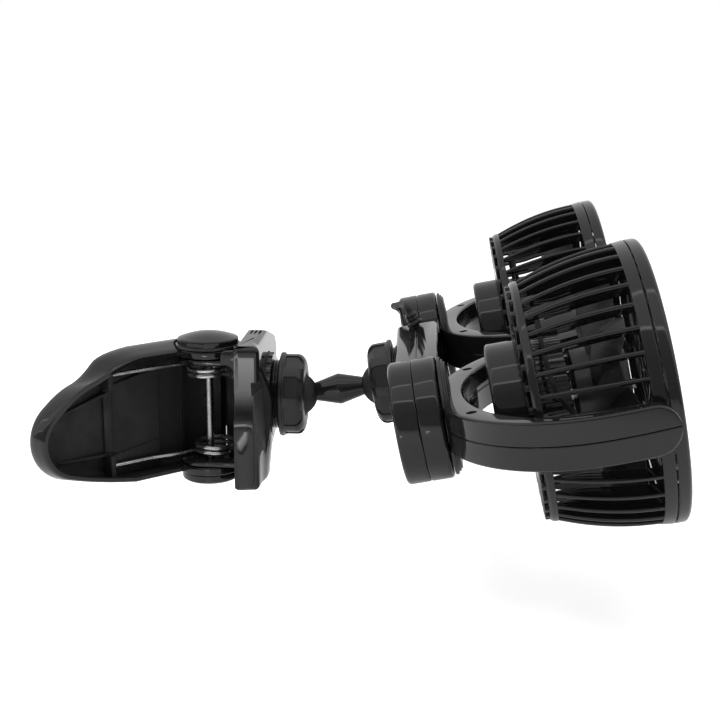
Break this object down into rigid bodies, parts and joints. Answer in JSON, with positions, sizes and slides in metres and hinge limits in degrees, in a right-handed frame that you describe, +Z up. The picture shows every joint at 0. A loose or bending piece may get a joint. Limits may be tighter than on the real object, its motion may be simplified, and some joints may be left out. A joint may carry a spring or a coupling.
{
  "type": "clip-on aquarium cooling fan",
  "caption": "Twin-head cooling fan for an aquarium rim: a spring clip, a two-ball arm and a cross bar carry two swivelling, tilting fan heads in ribbed cages.",
  "frame": {"origin": "centre of the grip pad's face on the fixed jaw of the clip", "axes": "-X is the outward normal of that pad; +X points from the clip to the fans, +Y runs along the cross bar and out of the clip's mouth, +Z is up along the hinge pin"},
  "size_m": [0.1942, 0.2222, 0.1131],
  "materials": {
    "gloss_black_plastic": "polished moulded ABS",
    "satin_black_plastic": "satin moulded plastic",
    "black_rubber": "matt rubber",
    "bright_steel": "bright drawn wire and rod",
    "copper_winding": "enamelled copper windings",
    "sleeve_bronze": "sintered bronze",
    "magnet": "plain ferrite"
  },
  "bodies": {
    "clip": {"clip_body": "gloss_black_plastic", "clip_ball_socket": "gloss_black_plastic", "clip_socket_screw": "bright_steel", "body_jaw_pad": "black_rubber", "hinge_pin": "bright_steel", "pin_cap_top": "gloss_black_plastic", "pin_cap_bottom": "gloss_black_plastic"},
    "lever": {"clip_lever": "gloss_black_plastic", "lever_jaw_pad": "black_rubber", "spring_upper": "bright_steel", "spring_lower": "bright_steel"},
    "clip_nut": {"clip_lock_nut": "satin_black_plastic"},
    "ring_a": {"seat_ring_a": "black_rubber"},
    "arm": {"arm_ball_a": "satin_black_plastic", "arm_link": "gloss_black_plastic"},
    "ball_b": {"arm_ball_b": "satin_black_plastic"},
    "ring_b": {"seat_ring_b": "black_rubber"},
    "bar": {"bar_rear_shell": "gloss_black_plastic", "bar_front_shell": "gloss_black_plastic", "bar_ball_socket": "gloss_black_plastic", "bar_screw_near": "bright_steel", "bar_screw_far": "bright_steel", "cable_gland": "satin_black_plastic", "power_cable": "black_rubber", "dc_connector": "satin_black_plastic"},
    "bar_nut": {"bar_lock_nut": "satin_black_plastic"},
    "near_yoke": {"near_swivel_hub": "satin_black_plastic", "near_hub_retainer": "bright_steel", "near_yoke_upper": "gloss_black_plastic", "near_yoke_lower": "gloss_black_plastic", "near_yoke_screw_1": "bright_steel", "near_yoke_screw_2": "bright_steel", "near_pivot_pin_1": "satin_black_plastic", "near_pivot_pin_2": "satin_black_plastic"},
    "near_head": {"near_cage": "gloss_black_plastic", "near_front_grille": "gloss_black_plastic", "near_motor_housing": "gloss_black_plastic", "near_stator": "copper_winding", "near_bearing": "sleeve_bronze", "near_motor_lead": "black_rubber"},
    "near_rotor": {"near_rotor_magnet": "magnet", "near_shaft": "bright_steel", "near_impeller": "satin_black_plastic"},
    "far_yoke": {"far_swivel_hub": "satin_black_plastic", "far_hub_retainer": "bright_steel", "far_yoke_upper": "gloss_black_plastic", "far_yoke_lower": "gloss_black_plastic", "far_yoke_screw_1": "bright_steel", "far_yoke_screw_2": "bright_steel", "far_pivot_pin_1": "satin_black_plastic", "far_pivot_pin_2": "satin_black_plastic"},
    "far_head": {"far_cage": "gloss_black_plastic", "far_front_grille": "gloss_black_plastic", "far_motor_housing": "gloss_black_plastic", "far_stator": "copper_winding", "far_bearing": "sleeve_bronze", "far_motor_lead": "black_rubber"},
    "far_rotor": {"far_rotor_magnet": "magnet", "far_shaft": "bright_steel", "far_impeller": "satin_black_plastic"}
  },
  "joints": [
    {"name": "lever_squeeze", "type": "hinge", "parent": "clip", "child": "lever", "pos_m": [-0.009, -0.032, 0], "axis": [0, 0, 1], "range_deg": [-7, 25], "stiffness_Nm_per_rad": 0.35},
    {"name": "clip_nut_turn", "type": "hinge", "parent": "clip", "child": "clip_nut", "pos_m": [0.017, -0.012, 0], "axis": [1, 0, 0], "range_deg": [0, 180]},
    {"name": "ball_a_azimuth", "type": "hinge", "parent": "clip", "child": "ring_a", "pos_m": [0.017, -0.012, 0], "axis": [1, 0, 0], "continuous": true},
    {"name": "ball_a_tilt", "type": "hinge", "parent": "ring_a", "child": "arm", "pos_m": [0.017, -0.012, 0], "axis": [0, -1, 0], "range_deg": [-38, 22]},
    {"name": "arm_twist", "type": "hinge", "parent": "arm", "child": "ball_b", "pos_m": [0.04671, -0.012, 0.00417], "axis": [0.9903, 0, 0.1392], "continuous": true},
    {"name": "ball_b_tilt", "type": "hinge", "parent": "ball_b", "child": "ring_b", "pos_m": [0.04671, -0.012, 0.00417], "axis": [0, -1, 0], "range_deg": [-33, 27]},
    {"name": "bar_roll", "type": "hinge", "parent": "ring_b", "child": "bar", "pos_m": [0.04671, -0.012, 0.00417], "axis": [0.9816, 0, 0.1908], "continuous": true},
    {"name": "bar_nut_turn", "type": "hinge", "parent": "bar", "child": "bar_nut", "pos_m": [0.04671, -0.012, 0.00417], "axis": [-0.9816, 0, -0.1908], "range_deg": [0, 180]},
    {"name": "near_yoke_swivel", "type": "hinge", "parent": "bar", "child": "near_yoke", "pos_m": [0.06011, -0.07, 0.00678], "axis": [0.9816, 0, 0.1908], "range_deg": [-170, 170]},
    {"name": "near_head_tilt", "type": "hinge", "parent": "near_yoke", "child": "near_head", "pos_m": [0.1194, -0.07, 0.0183], "axis": [0, -1, 0], "range_deg": [-90, 90]},
    {"name": "near_impeller_spin", "type": "hinge", "parent": "near_head", "child": "near_rotor", "pos_m": [0.09937, -0.07, 0.01441], "axis": [0.9816, 0, 0.1908], "continuous": true},
    {"name": "far_yoke_swivel", "type": "hinge", "parent": "bar", "child": "far_yoke", "pos_m": [0.06011, 0.046, 0.00678], "axis": [0.9816, 0, 0.1908], "range_deg": [-170, 170]},
    {"name": "far_head_tilt", "type": "hinge", "parent": "far_yoke", "child": "far_head", "pos_m": [0.1194, 0.046, 0.0183], "axis": [0, -1, 0], "range_deg": [-90, 90]},
    {"name": "far_impeller_spin", "type": "hinge", "parent": "far_head", "child": "far_rotor", "pos_m": [0.09937, 0.046, 0.01441], "axis": [0.9816, 0, 0.1908], "continuous": true}
  ]
}
